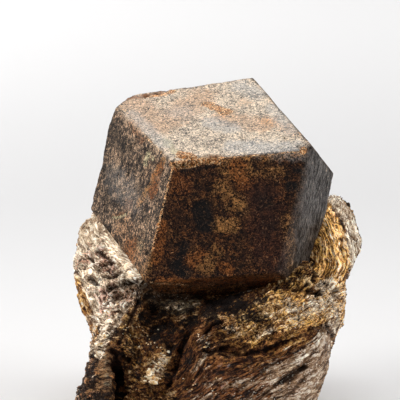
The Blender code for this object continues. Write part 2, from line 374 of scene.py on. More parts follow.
garnet = {
    "voxel": 0.27 * mm,
    "triangles": 194000,
    "leastFace": 12 * mm * mm,  # a flat face of the crystal is larger than this
    "edgeRound": 0.07 * mm,  # how soft the edges are
    "edgeWorn": 0.22 * mm,  # and where they are worn most
    "swell": 0.10 * mm,
    "swellSize": 5.0 * mm,
    "grain": 0.035 * mm,
    "grainSize": 0.55 * mm,
    "pit": 0.16 * mm,
    "pitSize": 1.6 * mm,
    "ridge": 0.12 * mm,  # growth ridges near the foot of the front face
    "ridgeSize": 0.9 * mm,
    "ragged": 0.14 * mm,  # how deep the edges crumble, and how much deeper at the crown
    "raggedCrown": 0.26 * mm,
    "chip": 0.85 * mm,
    "chipFacet": 1.0 * mm,
    "chipFacetHeight": 0.30 * mm,
    "swollenFlank": [(106, 130)],  # the left face bulges a little here
    "flankSwell": 0.45 * mm,
    "flankReach": 9,  # mm
    "bump": 0.15 * mm,
    # sizes in mm of the patterns of its colours
    "patterns": {"clouds": 3.0, "middling": 1.1, "grains": 0.36, "curls": 0.60, "grit": 0.24,
                 "sideLines": 0.36, "veins": 0.46},
    # which way each face in view looks
    "faces": {"topFace": (-0.08, -0.30, 0.95), "leftFace": (-0.80, -0.52, 0.31),
              "frontFace": (0.03, -0.98, 0.19), "rightFace": (0.87, -0.48, -0.08),
              "rubbedFace": (0.5, -0.86, 0.1)},
    # marks of each colour, crumbs and chips: points of the frame, size in mm, strength
    "rust": [([(160, 168), (156, 178), (152, 192)], 1.3, 0.8), ([(133, 122), (142, 140)], 1, 0.5),
        ([(221, 266), (230, 271)], 0.8, 0.9), ([(130, 98), (152, 95), (172, 91)], 0.7, 0.8),
        ([(175, 163), (196, 161), (216, 158)], 1.2, 1), ([(238, 166), (244, 182)], 1.5, 0.6),
        ([(161, 225), (156, 262)], 1, 0.6), ([(160, 280), (270, 279)], 0.7, 0.6),
        ([(112, 216), (124, 214)], 0.35, 0.6), ([(131, 250)], 2.4, 0.7), ([(128, 205)], 1.6, 0.5),
        ([(200, 255), (190, 262)], 1.4, 0.45), ([(180, 185)], 2, 0.4)],
    "maroon": [([(262, 200), (272, 255)], 3.6, 1), ([(200, 282), (262, 280)], 1.6, 0.8),
        ([(185, 185)], 1.8, 0.5)],
    "warm": [([(135, 105), (160, 125), (200, 98)], 3.4, 0.7), ([(122, 232), (142, 264)], 3, 1),
        ([(150, 170)], 2, 0.6), ([(228, 118), (262, 126)], 2.4, 0.7)],
    "gold": [([(219, 226), (233, 225)], 1.4, 1), ([(225, 170), (250, 172)], 1.4, 0.5),
        ([(238, 205)], 2.2, 0.6), ([(205, 268), (215, 255)], 1.6, 0.6),
        ([(163, 160), (150, 185), (138, 204)], 0.9, 0.9), ([(222, 190)], 2, 0.5),
        ([(265, 118), (295, 134)], 1.6, 0.6), ([(240, 102), (215, 120)], 2.2, 0.4),
        ([(150, 258), (143, 272)], 1.4, 0.6), ([(287, 222), (291, 262)], 1.5, 0.6),
        ([(160, 96), (171, 93)], 0.6, 0.8), ([(218, 160), (250, 158)], 0.5, 0.9),
        ([(262, 158), (300, 154)], 0.6, 0.8), ([(255, 175), (285, 172)], 1.2, 0.35)],
    "black": [([(200, 208), (206, 224)], 1.7, 1), ([(176, 266), (184, 272)], 1.5, 0.9),
        ([(186, 244), (180, 256)], 0.9, 0.8), ([(291, 186)], 1.1, 1), ([(297, 170)], 0.9, 0.8),
        ([(262, 200)], 2.4, 0.5), ([(106, 168), (112, 202)], 2.4, 0.4),
        ([(112, 128), (126, 150)], 1.8, 0.6), ([(140, 190)], 1.8, 0.5),
        ([(182, 170), (214, 166)], 0.6, 0.6), ([(270, 225)], 2.6, 0.4),
        # painted shade along the under-face, below the front
        ([(150, 288), (270, 288)], 0.8, 0.7)],
    "pale": [([(148, 154), (146, 162)], 0.8, 0.9), ([(153, 158)], 0.5, 0.9),
        ([(113, 217), (118, 218), (126, 214)], 0.25, 0.9), ([(165, 140), (176, 153)], 0.8, 0.7),
        ([(140, 245)], 1.4, 0.4)],
    "satinAndSheen": [([(112, 178), (134, 200)], 2.6, 0.45), ([(235, 147), (296, 148)], 2.2, 1),
        ([(240, 86), (258, 94)], 2, 0.8), ([(212, 122), (232, 128)], 1.8, 0.9),
        ([(132, 114), (165, 145)], 1.2, 0.7), ([(275, 108), (292, 130)], 1.8, 0.7),
        ([(180, 112)], 2.4, 0.5)],
    "crumbs": [([(206, 104), (216, 108), (226, 112)], 1.2, 0.85), ([(182, 155), (190, 157)], 1.3, 1),
        ([(150, 97), (160, 95), (173, 91)], 0.6, 0.8), ([(175, 163), (196, 161), (218, 158)], 1.1, 1),
        ([(303, 150), (309, 140), (306, 132)], 0.9, 0.9), ([(172, 168), (163, 205), (152, 250)], 0.3, 0.7),
        ([(220, 158), (300, 152)], 0.22, 0.6), ([(120, 104), (145, 135), (170, 162)], 0.25, 0.5),
        ([(150, 283), (200, 286)], 0.3, 0.5)],
    "chips": [([(175, 163), (192, 161)], 1, 1), ([(194, 160), (218, 157)], 0.8, 1),
        ([(184, 156)], 0.7, 0.6), ([(304, 148), (310, 140)], 0.8, 0.8), ([(148, 96), (166, 91)], 0.6, 0.7)],
}
garnetMarks = ("rust", "gold", "black", "pale", "satinAndSheen", "maroon", "warm", "crumbs")


def crystalPlanes(piece):
    # the crystal's big flat faces, as unit normals and heights, from its loose triangles
    planes = []
    for face in piece.data.polygons:
        normal, height = np.array(face.normal), face.normal.dot(face.center)
        for plane in planes:
            if plane[0] @ normal > 0.9995 and abs(plane[1] - height) < 0.03 * mm:
                plane[2] += face.area
                break
        else:
            planes.append([normal, height, face.area])
    kept = [plane for plane in planes if plane[2] > garnet["leastFace"]]
    return np.array([plane[0] for plane in kept]), np.array([plane[1] for plane in kept])


def softSurface(places, normals, heights, soft):
    # signed distance to the crystal with its edges rounded, and the direction straight out of it
    out = places @ normals.T - heights
    most = out.max(axis=1)
    weights = np.exp((out - most[:, None]) / soft[:, None])
    total = weights.sum(axis=1)
    direction = (weights / total[:, None]) @ normals
    length = np.linalg.norm(direction, axis=1)
    return (most + soft * np.log(total)) / length, direction / length[:, None], out


def faceTowards(normals, direction):
    return int(np.argmax(normals @ np.array(Vector(direction).normalized())))


def buildGarnet():
    piece = copyNode("garnet_crystal", "garnet")
    normals, heights = crystalPlanes(piece)
    print("garnet: flat faces found:", len(heights))
    remesh(piece, garnet["voxel"])
    places = cornersOf(piece)

    # flat faces and worn edges; chips knocked out of the edges stay as they are
    worn = ease(rough(places, 6 * mm, (5, 2, 8)) + 0.5 * rough(places, 1.7 * mm), 0.05, 0.75)
    soft = garnet["edgeRound"] + (garnet["edgeWorn"] - garnet["edgeRound"]) * worn
    sharp = (places @ normals.T - heights).max(axis=1)
    flush = ease(sharp, -0.40 * mm, -0.18 * mm)
    for _ in range(3):
        apart, direction, out = softSurface(places, normals, heights, soft)
        places = places - (flush * apart)[:, None] * direction
    setCorners(piece, places)
    tree = treeOf(piece)
    outward = normalsOf(piece)

    # which face a place lies on, and how near it is to an edge
    ordered = np.sort(out, axis=1)
    nearEdge = 1 - ease(ordered[:, -1] - ordered[:, -2], 0, 0.45 * mm)
    onFace = np.exp((out - ordered[:, -1:]) / (0.25 * mm))
    onFace = onFace / onFace.sum(axis=1)[:, None]
    faces = {name: onFace[:, faceTowards(normals, way)] for name, way in garnet["faces"].items()}

    # swells, growth ridges near the foot of the front, pits and grain
    wobble = fractal(places, 1.3 * mm, 3, (6, 1, 3))
    push = garnet["swell"] * rough(places, garnet["swellSize"])
    push += 0.4 * garnet["swell"] * rough(places, 1.8 * mm)
    push += garnet["grain"] * fractal(places, garnet["grainSize"], 2, (4, 9, 2))
    holes = ease(rough(places, garnet["pitSize"], (8, 3, 5)) + 0.3 * rough(places, 0.7 * mm), 0.42, 0.75)
    holes *= 1 - 0.9 * faces["rightFace"] - 0.5 * faces["topFace"]
    push -= garnet["pit"] * holes
    lowFront = faces["frontFace"] * ease(-places[:, 2], -34 * mm, -27 * mm)
    push += garnet["ridge"] * lowFront * rough(places * np.array([0.12, 0.3, 1.0]), garnet["ridgeSize"])
    chips = spotMask(places, tree, garnet["chips"], wobble) * ease(wobble + 0.20, 0, 0.25)
    ragged = nearEdge * ease(rough(places, 1.1 * mm, (2, 2, 6)) + 0.4 * wobble, 0.1, 0.6)
    crownEdge = 4 * faces["topFace"] * faces["frontFace"]
    push -= (garnet["ragged"] + garnet["raggedCrown"] * crownEdge) * ragged + garnet["chip"] * chips
    apart = apartFrom(places, tree, garnet["swollenFlank"], garnet["flankReach"])
    push += garnet["flankSwell"] * ease(1 - apart, 0, 1)
    broken = chips > 0.02
    size = garnet["chipFacet"]
    facets = facetHeight(places[broken], places[broken], np.zeros(broken.sum()), size, size, (1, 2, 3))
    push[broken] -= garnet["chipFacetHeight"] * chips[broken] * (0.6 + facets)
    setCorners(piece, places + outward * push[:, None])

    for name, values in faces.items():
        paintAttribute(piece, name, values)
    paintAttribute(piece, "nearEdge", nearEdge)
    # painted shade in the pits, the crumbled edges and the chips
    paintAttribute(piece, "hollowShade", np.clip(holes + 0.5 * ragged + 0.5 * chips, 0, 1))
    for name in garnetMarks:
        paintAttribute(piece, name, spotMask(places, tree, garnet[name], wobble))

    thin(piece, garnet["triangles"])
    bpy.ops.object.shade_smooth()
    piece.data.materials.clear()
    piece.data.materials.append(garnetMaterial())
    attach(piece, "root")
    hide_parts("garnet_crystal")
    return normals, heights


garnetColours = {
    "deep": (0.009, 0.0045, 0.003),
    "body": (0.034, 0.014, 0.0065),
    "side": (0.034, 0.026, 0.023),
    "sideTan": (0.50, 0.335, 0.215),
    # the top face's colours are painted lighter than the rest: painted light and sheen over its own tan
    "topBaseAndSheen": (0.145, 0.118, 0.098),
    "topTanAndSheen": (0.63, 0.51, 0.385),
    "warm": (0.46, 0.265, 0.145),
    "rust": (0.200, 0.066, 0.016),
    "maroon": (0.040, 0.013, 0.009),
    "gold": (0.310, 0.150, 0.048),
    "black": (0.0045, 0.005, 0.0055),
    "topGoldLit": (0.50, 0.215, 0.060),
    "pale": (0.38, 0.33, 0.20),
    # dust along the edges, also a painted highlight on them
    "dustAndHighlight": (0.48, 0.33, 0.22),
    "grey": (0.066, 0.057, 0.050),
    # grey painted sheen on the smoother patches
    "satinAndSheen": (0.25, 0.245, 0.235),
    "crumb": (0.40, 0.150, 0.036),
    "crumbDeep": (0.045, 0.017, 0.008),
    "crumbPale": (0.66, 0.46, 0.26),
    "shadow": (0.012, 0.007, 0.005),
    "topShadow": (0.10, 0.050, 0.024),
}
# the lines on the faces run along the edges between them
alongLeft = (0.10, 0.35, 0.92)
alongRight = (0.10, 0.16, 0.98)


def garnetMaterial():
    shade = Shade("garnet_surface", garnetColours)
    top, left, front, right, rubbed = shade.painted(*garnet["faces"])
    rust, gold, black, pale, satinAndSheen, maroon, warm, crumbs = shade.painted(*garnetMarks)
    edge, hollowShade = shade.painted("nearEdge", "hollowShade")

    size = garnet["patterns"]
    clouds = shade.speckle(size["clouds"], 5, 0.68, 11, 0.4)
    middling = shade.speckle(size["middling"], 4, 0.74, 37, 0.7)
    grains = shade.speckle(size["grains"], 2, 0.8, 3, 1.0)
    curls = shade.speckle(size["curls"], 3, 0.78, 29, 1.8)
    grit = shade.grit(size["grit"])
    sideLines = shade.speckle(size["sideLines"], 3, 0.78, 2, 0.9, shade.drawnOut(alongLeft, 2.2))
    veins = shade.speckle(size["veins"], 3, 0.8, 8, 0.5, shade.drawnOut(alongRight, 4))
    fine = grains * 0.5 + curls * 0.5
    unseen = (1 - top - left - front - right - rubbed).clamped()

    # each face's dark ground and the lighter grains over it; painted light: the top face is lighter, and
    # the grains cover more of the top and left faces, which the lamps light
    ground = shade.mixed(left, "body", "side")
    ground = shade.mixed(top, ground, "topBaseAndSheen")
    colour = shade.mixed((clouds * 0.4 + curls * 0.6).over(0.49, 0.12), "deep", ground)
    colour = shade.mixed(top * 0.7, colour, "topBaseAndSheen")
    grey = shade.mixed(top, "sideTan", "topTanAndSheen")
    tan = shade.mixed((warm * (0.35 + clouds * 1.1)).clamped(), grey, "warm")
    mottle = (fine * (1 - left) + sideLines * left) * 0.55 + middling * 0.22 + clouds * 0.23
    bright = top * 0.55 + left * 0.43 + rubbed * 0.36 + warm * 0.04 + unseen * clouds * 0.6
    colour = shade.mixed(shade.covered(mottle, bright, 0.06), colour, tan)
    browns = shade.covered(curls * 0.5 + clouds * 0.5, gold * 0.7 + front * 0.16 + unseen * 0.26, 0.14)
    golden = shade.mixed(top, "gold", "topGoldLit")
    colour = shade.mixed(browns * fine.over(0.48, 0.05) * 0.9, colour, golden)
    rusted = rust * 0.62 + front * 0.20 + unseen * 0.28 + 0.1
    rusty = shade.covered(curls * 0.6 + middling * 0.4, rusted, 0.12)
    colour = shade.mixed(rusty * fine.over(0.47, 0.05) * 0.9, colour, "rust")
    reddened = (maroon * (0.3 + clouds * 1.2)).clamped()
    colour = shade.mixed(reddened * (1 - fine.over(0.56, 0.1) * 0.6) * 0.8, colour, "maroon")
    colour = shade.mixed(shade.covered(curls, pale * 0.9, 0.12) * fine.over(0.45, 0.10) * 0.8, colour, "pale")
    # painted sheen: grey patches where the faces shine, on their smoother spots
    sheenPatches = (satinAndSheen * (0.25 + clouds * 1.2)).clamped() * (1 - fine.over(0.54, 0.1) * 0.55)
    colour = shade.mixed(sheenPatches * 0.85, colour, "satinAndSheen")
    blots = shade.covered(clouds * 0.35 + curls * 0.65, black, 0.16) * (0.95 - left * 0.15)
    colour = shade.mixed(blots * (1 - fine.over(0.58, 0.04) * 0.7), colour, "black")
    colour = shade.mixed(right * (0.30 + veins.over(0.50, 0.06) * 0.65), colour, "grey")
    gloom = (1 - veins.over(0.46, 0.05)) * (right * 0.9 + rubbed * 0.6)
    colour = shade.mixed(gloom, colour, "deep")
    flecks = shade.covered(curls * 0.5 + veins * 0.5, 0.20, 0.04)
    colour = shade.mixed(right * flecks * 0.8, colour, "sideTan")
    # dust and a painted highlight along the edges, most on the top and left faces
    edgeDustAndHighlight = edge * fine.over(0.50, 0.04) * (top * 0.2 + left * 0.25 + rubbed * 0.1 + 0.04)
    colour = shade.mixed(edgeDustAndHighlight.clamped() * 0.7, colour, "dustAndHighlight")
    shadow = shade.mixed(top, "shadow", "topShadow")
    # painted shade in the pits, crumbled edges and chips
    colour = shade.mixed((hollowShade * (1 - fine.over(0.50, 0.05) * 0.75)).clamped(), colour, shadow)
    crumb = shade.mixed(curls.over(0.49, 0.04), "crumbDeep", "crumb")
    crumb = shade.mixed(grains.over(0.55, 0.04), crumb, "crumbPale")
    colour = shade.mixed(shade.covered(middling * 0.6 + grains * 0.4, crumbs * 0.9, 0.05), colour, crumb)
    spread = 1 - top * 0.40 - right * 0.25
    crisp = curls.over(0.5, 0.07) * 0.7 + grains.over(0.5, 0.07) * 0.5 + (veins.over(0.5, 0.08) - 0.5) * right
    level = (crisp - 0.6) * spread * 1.3 + (grit - 0.5) * spread * 0.9 + (curls - 0.5) * spread * 2.6
    # painted shade: the front face is darker
    level = level + 1.03 - front * 0.26
    colour = shade.scaled(colour, level.clampedTo(0.15, 2.5))

    roughness = (0.50 + (grains - 0.5) * 0.5 + (grit - 0.5) * 0.25 - satinAndSheen * 0.14).clamped()
    scratched = veins.over(0.50, 0.06) * 0.55 + 0.08
    sheen = top * 0.24 + satinAndSheen * top * 0.4 + right * scratched + left * 0.10 + rubbed * 0.16 + front * 0.01
    sheen = (sheen * (curls * 1.2 + clouds * 1.6 - 0.4) - hollowShade * 0.4).clamped()
    scratches = veins * (right * 1.8 + rubbed * 1.5) * 1.2
    relief = grains * 0.5 + grit * 0.15 + curls * 0.8 + crisp * 0.25 + scratches
    normal = shade.node("Bump", {}, {"Strength": 0.6, "Distance": garnet["bump"], "Height": relief})
    return shade.finished(colour, roughness, normal,
                          {"IOR": 1.5, "Specular IOR Level": 0.10, "Coat Weight": sheen,
                           "Coat Roughness": 0.36, "Coat IOR": 1.6})


# Zones of the rock: points of the frame, reach in mm, how much of each mineral covers them, how strong the
# ledges and the rubble are, how granular or calm their pattern is, and how much stain and painted shade
# darken them.
rockZones = {
    "shoulderTop": dict(at=[(92, 226), (88, 240)], reach=2.6, silver=1.1, gold=0.45, dark=0.05, green=0.3,
        mauve=0.25, ledge=0.8, rubble=0.1, granular=0.21, calm=0.5, stainAndShade=0.14),
    "contactBand": dict(at=[(101, 222), (113, 246), (130, 270)], reach=1, silver=1.1, dark=0.05, green=0.2,
        mauve=0.1, ledge=0.6, calm=0.85, stainAndShade=-0.08),
    "shoulderMiddle": dict(at=[(86, 248), (94, 262)], reach=2.6, silver=1, dark=0.12, mauve=0.75, ledge=0.2,
        rubble=0.7, granular=0.3, calm=0.2, stainAndShade=-0.15),
    "shoulderHollow": dict(at=[(106, 268), (118, 276)], reach=1.7, silver=0.7, dark=0.42, mauve=0.8,
        ledge=0.3, rubble=0.9, granular=0.36, stainAndShade=0.15),
    "shoulderPale": dict(at=[(84, 274), (104, 280), (130, 274)], reach=1.6, silver=1.1, dark=0.1,
        mauve=0.35, ledge=0.4, rubble=0.4, granular=0.3, stainAndShade=-0.3),
    "shoulderRag": dict(at=[(102, 296), (108, 318)], reach=2.8, silver=1.05, dark=0.2, mauve=0.7, ledge=0.4,
        rubble=0.7, granular=0.27, stainAndShade=-0.15),
    "shoulderBrown": dict(at=[(126, 296), (120, 315)], reach=2.4, silver=0.7, gold=0.4, dark=0.34,
        mauve=0.75, ledge=0.4, rubble=0.8, granular=0.36, stainAndShade=0.1),
    "shoulderFoot": dict(at=[(128, 325), (132, 340)], reach=2.6, gold=0.66, rust=0.6, dark=0.36, ledge=0.5,
        rubble=0.8, granular=0.48, stainAndShade=0.35),
    "leftFlank": dict(at=[(76, 282), (88, 312), (96, 328)], reach=1.7, silver=0.3, gold=0.95, dark=0.14,
        green=0.2, ledge=1, calm=0.2, stainAndShade=0.34),
    "neck": dict(at=[(105, 322), (99, 350)], reach=1.5, silver=0.95, dark=0.18, green=0.3, ledge=0.7,
        rubble=0.2),
    "lowerLeft": dict(at=[(88, 390), (97, 372)], reach=4.2, silver=0.35, rust=0.5, dark=0.6, mauve=0.6,
        ledge=0.6, rubble=0.6, granular=0.48, stainAndShade=0.05),
    "lowerLeftFace": dict(at=[(104, 362), (107, 380)], reach=1.9, dark=0.2, green=0.8, ledge=0.2,
        rubble=0.2, calm=0.6),
    "valley": dict(at=[(150, 330), (175, 335)], reach=4.5, gold=0.42, rust=0.8, dark=0.55, ledge=0.5,
        rubble=0.8, granular=0.6, stainAndShade=0.8),
    "valleyFoot": dict(at=[(136, 370), (146, 395)], reach=4.2, gold=0.5, rust=0.9, dark=0.42, ledge=0.5,
        rubble=0.8, granular=0.54, stainAndShade=0.62),
    "mica": dict(at=[(154, 372), (164, 360)], reach=1.5, silver=1, gold=1.1, ledge=0.5, rubble=0.8,
        granular=0.36, stainAndShade=-0.15),
    "underLedge": dict(at=[(160, 305), (192, 305)], reach=2.2, silver=0.5, gold=0.35, dark=0.3, green=1,
        ledge=0.3, rubble=0.4, granular=0.42, stainAndShade=0.4),
    "ridges": dict(at=[(192, 338), (176, 372)], reach=2.6, rust=0.7, dark=0.42, mauve=0.5, ledge=1,
        rubble=0.2, stainAndShade=0.55),
    "blockLeft": dict(at=[(202, 338), (206, 352)], reach=1.8, silver=0.7, rust=0.3, dark=0.25, mauve=0.6,
        ledge=0.7, rubble=0.5, granular=0.3, stainAndShade=0.2),
    "blockTopLeft": dict(at=[(212, 308), (240, 308)], reach=3.4, gold=0.35, rust=0.9, dark=0.66, ledge=0.5,
        rubble=0.7, granular=0.48, stainAndShade=0.62),
    "blockTop": dict(at=[(266, 312)], reach=3.4, silver=0.35, gold=0.52, rust=0.9, dark=0.44, ledge=0.5,
        rubble=0.7, granular=0.45, stainAndShade=0.1),
    "blockTopRight": dict(at=[(296, 310), (316, 304)], reach=3.4, silver=0.55, gold=1.1, rust=0.8, dark=0.1,
        ledge=0.7, rubble=0.5, granular=0.36, stainAndShade=-0.02),
    "crest": dict(at=[(228, 324), (262, 332), (285, 328)], reach=1.9, silver=0.5, gold=0.62, rust=1,
        dark=0.32, ledge=0.3, rubble=1, granular=0.48, stainAndShade=0.28),
    "overhang": dict(at=[(222, 352), (258, 354)], reach=2.8, gold=0.38, rust=1.1, dark=0.36, ledge=1,
        rubble=0.2, granular=0.21, stainAndShade=0.24),
    "overhangRight": dict(at=[(280, 344), (312, 328)], reach=2.2, gold=0.35, rust=1.05, dark=0.4, ledge=1,
        rubble=0.2, stainAndShade=0.15),
    "lowerMiddle": dict(at=[(215, 380), (240, 385)], reach=4.5, silver=0.42, rust=0.7, dark=0.34,
        mauve=0.45, ledge=0.7, rubble=0.15, stainAndShade=0.64),
    "lowerCentre": dict(at=[(262, 388), (285, 365)], reach=3.8, silver=0.6, gold=0.2, rust=0.6, dark=0.26,
        mauve=0.5, ledge=0.5, calm=0.15, stainAndShade=0.56),
    "lowerRight": dict(at=[(300, 390), (325, 350)], reach=3.6, silver=0.85, gold=0.2, rust=0.3, dark=0.12,
        mauve=0.35, ledge=0.35, calm=0.25, stainAndShade=0.56),
    "rightFlank": dict(at=[(340, 290), (341, 325)], reach=1.8, silver=0.45, gold=0.9, rust=0.3, dark=0.2,
        ledge=0.6),
    "rightLip": dict(at=[(290, 284), (304, 280), (314, 268)], reach=1.8, gold=0.5, rust=0.8, dark=0.48,
        ledge=0.6, rubble=0.8, granular=0.42, stainAndShade=0.3),
    "rightHollow": dict(at=[(322, 286), (334, 284)], reach=1.8, silver=0.6, gold=0.6, dark=0.35, green=0.4,
        ledge=0.6, rubble=0.6, granular=0.36),
    "shoulderGold": dict(at=[(328, 218), (330, 266)], reach=2.6, silver=0.3, gold=1.4, dark=0.12, ledge=0.7,
        rubble=0.1, stainAndShade=-0.24),
    "shoulderRim": dict(at=[(338, 204), (354, 228), (354, 252)], reach=2.2, silver=0.98, gold=0.2,
        dark=0.08, green=0.6, ledge=0.9, rubble=0.1, calm=0.3, stainAndShade=0.15),
}
# what lies between and behind the zones
bulk = dict(silver=0.44, gold=0.42, rust=0.55, dark=0.28, green=0.3, mauve=0.45, ledge=0.8, rubble=0.4,
            granular=0.09, calm=0.25, stainAndShade=0.1)

minerals = ("silver", "gold", "rust", "dark", "green", "mauve")

schist = {
    "voxel": 0.29 * mm,
    "triangles": 194000,
    "socket": 0.35 * mm,  # what lies nearer the crystal than this is the socket's wall
    "seat": 0.15 * mm,  # how far that wall is drawn into the crystal
    "lean": (0.25, 0.10, 0.10),  # the layers wrap round the crystal and lean this way
    "warp": 1.6 * mm,
    "warpSize": 15 * mm,
    "layerRun": 7 * mm,  # how far a layer keeps its height
    # a point of the frame, reach in mm, more lean near it
    "leans": [((340, 235), 9, (0, 0, 0.8)), ((86, 305), 8, (-0.5, 0, 0.2)), ((185, 355), 7, (0.8, 0, 0.3))],
    "crevice": 0.42 * mm,
    "creviceSizes": [2.6 * mm, 1.2 * mm],
    "ledges": [(3.1 * mm, 0.34 * mm), (1.4 * mm, 0.15 * mm), (0.75 * mm, 0.04 * mm)],
    "plates": [(5.0 * mm, 1.3 * mm, 0.20 * mm), (2.6 * mm, 0.7 * mm, 0.09 * mm)],  # along, across, height
    "rubble": [(3.6 * mm, 1.8 * mm, 0.46 * mm), (1.8 * mm, 0.9 * mm, 0.20 * mm)],
    "pit": 0.26 * mm,
    "pitSize": 1.8 * mm,
    "lump": 0.30 * mm,
    "lumpSize": 4.5 * mm,
    "grain": 0.035 * mm,
    "grainSize": 0.6 * mm,
    "zoneWander": 0.30,  # how far the borders of the zones wander, in reaches
    "zoneWanderSize": 3.0 * mm,
    "bulkShare": 0.02,
    "patchSize": 6 * mm,  # patches of one mineral away from the zones
    "tatterSize": 1.1 * mm,  # how finely the cuts and ridges are frayed
    # painted shade round the cuts, and a painted highlight along the ridges
    "cutShade": 0.45,  # how much darker the cuts are
    "lit": 0.30,  # how much paler the ridges are
    "bump": 0.24 * mm,
    # sizes in mm of the patterns of its colours: along and across the layers, or the same all round
    "patterns": {"bands": (6.0, 1.5), "lines": (5.0, 0.44), "others": (3.6, 0.50), "hairs": (2.2, 0.21),
                 "clouds": 2.0, "curls": 0.55, "grit": 0.24},
    # slits, holes and grooves, with painted shade in and round them: points of the frame, width and depth in
    # mm
    "cuts": [
        ([(108, 289), (118, 284), (127, 282), (137, 281)], 0.7, 2.4),
        ([(98, 269), (104, 265), (112, 263)], 0.6, 1.6), ([(96, 249), (102, 255), (108, 258)], 0.35, 0.9),
        ([(88, 256), (93, 262)], 0.3, 0.7), ([(88, 277), (96, 284)], 0.5, 1),
        ([(104, 276), (111, 277), (118, 273)], 0.4, 0.9), ([(148, 299), (155, 300)], 0.9, 2.2),
        ([(308, 292), (314, 293), (320, 293)], 0.55, 2.2), ([(334, 296), (337, 290)], 0.5, 1.6),
        ([(311, 262), (316, 268), (314, 280)], 0.7, 1.4), ([(293, 291), (301, 289), (308, 284)], 0.35, 0.9),
        ([(281, 382), (293, 375), (305, 367)], 0.5, 1), ([(327, 324), (331, 332), (333, 338)], 0.7, 1),
        ([(341, 246), (345, 256)], 0.4, 0.8), ([(328, 203), (340, 216), (350, 232), (357, 243)], 0.35, 0.6),
        ([(203, 350), (226, 349), (245, 355), (272, 348), (300, 336), (322, 326)], 0.5, 0.8),
        # a shallow groove along the crystal's foot, which carries the painted shade under its front
        ([(152, 294), (200, 298), (250, 293), (284, 287)], 0.9, 0.3),
        ([(236, 392), (262, 372), (290, 352)], 0.25, 0.3),
        ([(262, 396), (290, 374), (316, 349)], 0.3, 0.35),
        ([(285, 398), (305, 378), (323, 352)], 0.25, 0.3), ([(215, 372), (240, 362), (264, 360)], 0.3, 0.4),
        ([(326, 228), (333, 250), (334, 270)], 0.3, 0.4),
        ([(333, 218), (341, 240), (345, 262)], 0.25, 0.35),
        ([(322, 246), (328, 262), (327, 278)], 0.25, 0.35),
        ([(143, 284), (140, 300), (128, 322), (118, 344)], 0.45, 0.5), ([(208, 303), (226, 302)], 1, 0.3),
        ([(205, 333), (212, 325), (222, 322)], 0.4, 0.8), ([(116, 362), (119, 380), (118, 397)], 1.5, 1.6),
        ([(112, 351), (120, 355), (128, 361)], 0.6, 1.2), ([(199, 322), (190, 337), (181, 352)], 0.6, 1),
        ([(186, 345), (176, 368), (168, 388)], 0.45, 0.9),
    ],
    # ridges and flakes that stand up, with a painted highlight along them
    "raises": [
        ([(98, 217), (89, 224), (81, 236)], 0.7, 0.5),
        ([(99, 223), (108, 243), (121, 262), (134, 277)], 0.35, 0.3),
        ([(97, 357), (101, 345), (107, 333)], 0.6, 0.8), ([(75, 276), (84, 300), (97, 328)], 0.4, 0.35),
        ([(82, 272), (92, 300), (102, 322)], 0.4, 0.3),
        ([(200, 322), (189, 338), (178, 358), (168, 384)], 0.5, 0.45),
        ([(322, 212), (333, 232), (343, 262)], 0.45, 0.45),
        ([(337, 208), (350, 226), (357, 240)], 0.4, 0.35),
        ([(300, 305), (312, 296), (326, 284)], 0.4, 0.35),
        ([(286, 301), (303, 304), (320, 311)], 0.8, 0.35), ([(236, 318), (262, 325), (286, 322)], 0.6, 0.3),
        ([(206, 322), (218, 316), (232, 316)], 0.5, 0.3), ([(240, 367), (270, 353), (300, 342)], 0.3, 0.25),
        ([(270, 386), (296, 363), (319, 345)], 0.35, 0.25),
        ([(112, 292), (122, 306), (128, 320)], 0.5, 0.3), ([(96, 282), (103, 298), (108, 316)], 0.5, 0.3),
        ([(228, 342), (250, 343), (275, 338), (300, 326), (318, 320)], 0.5, 0.4),
    ],
}


def layerDepth(places, tree):
    # how deep a place lies in the pile of layers round the crystal
    off = places - np.array(heart)
    warp = schist["warp"] * rough(off, schist["warpSize"], (0.5, 0.2, 0.9))
    depth = np.linalg.norm(off, axis=1) + off @ np.array(schist["lean"]) + warp
    for points, reach, lean in schist["leans"]:
        middle = np.array(seenAt(tree, points)[0])
        apart = np.linalg.norm(places - middle, axis=1) / (reach * mm)
        depth += ((places - middle) @ np.array(lean)) * np.exp(-apart ** 2)
    return depth


def zoneShares(places, tree):
    # how much of each zone a place belongs to; the rest is the bulk of the rock
    wander = schist["zoneWander"] * rough(places, schist["zoneWanderSize"], (7, 7, 1))
    shares = {}
    for name, zone in rockZones.items():
        apart = apartFrom(places, tree, zone["at"], zone["reach"])
        shares[name] = np.exp(-((apart + wander) ** 2)) + 1e-9
    total = sum(shares.values()) + schist["bulkShare"]
    return {name: share / total for name, share in shares.items()}, schist["bulkShare"] / total


def blended(shares, rest, what, extra=0.0):
    value = rest * (bulk[what] + extra)
    for name, share in shares.items():
        value = value + share * rockZones[name].get(what, 0.0)
    return value


def brokenLayers(places, depth, thickness, shift):
    # a height for each layer, which changes slowly along it and jumps to the next one
    turns = depth / thickness
    whole = np.floor(turns)
    stepped = whole + ease(turns - whole, 0.72, 1.0)
    wander = places / schist["layerRun"] + np.outer(stepped, (3.7, 1.9, 2.8)) + np.array(shift)
    return np.array([noise.noise(place) for place in wander.tolist()])


# Angular chunks: how bent their sides are, and how much they step, tilt and part at the cracks.
chunk = {"bend": 0.22, "step": 0.8, "tilt": 1.1, "crack": 0.5, "crackWidth": 0.12, "scatter": 7.31}


def facetHeight(places, off, depth, along, across, shift):
    # each chunk is tilted its own way, and lies flat along the layers where across is under along
    radial = off / np.linalg.norm(off, axis=1)[:, None]
    bent = off / along + radial * (depth * (1 / across - 1 / along))[:, None] + np.array(shift)
    bent += chunk["bend"] * np.column_stack([rough(places, along * 0.7, (k * 4, 2, 5)) for k in range(3)])
    heights = np.empty(len(places))
    for index, place in enumerate(bent.tolist()):
        (first, second, _, _), (block, _, _, _) = noise.voronoi(place)
        own = block * chunk["scatter"]
        tilt = noise.cell_vector(own).dot(Vector(place) - block)
        crack = max(0.0, 1 - (second - first) / chunk["crackWidth"])
        heights[index] = chunk["step"] * noise.cell(own) + chunk["tilt"] * tilt - chunk["crack"] * crack
    return heights


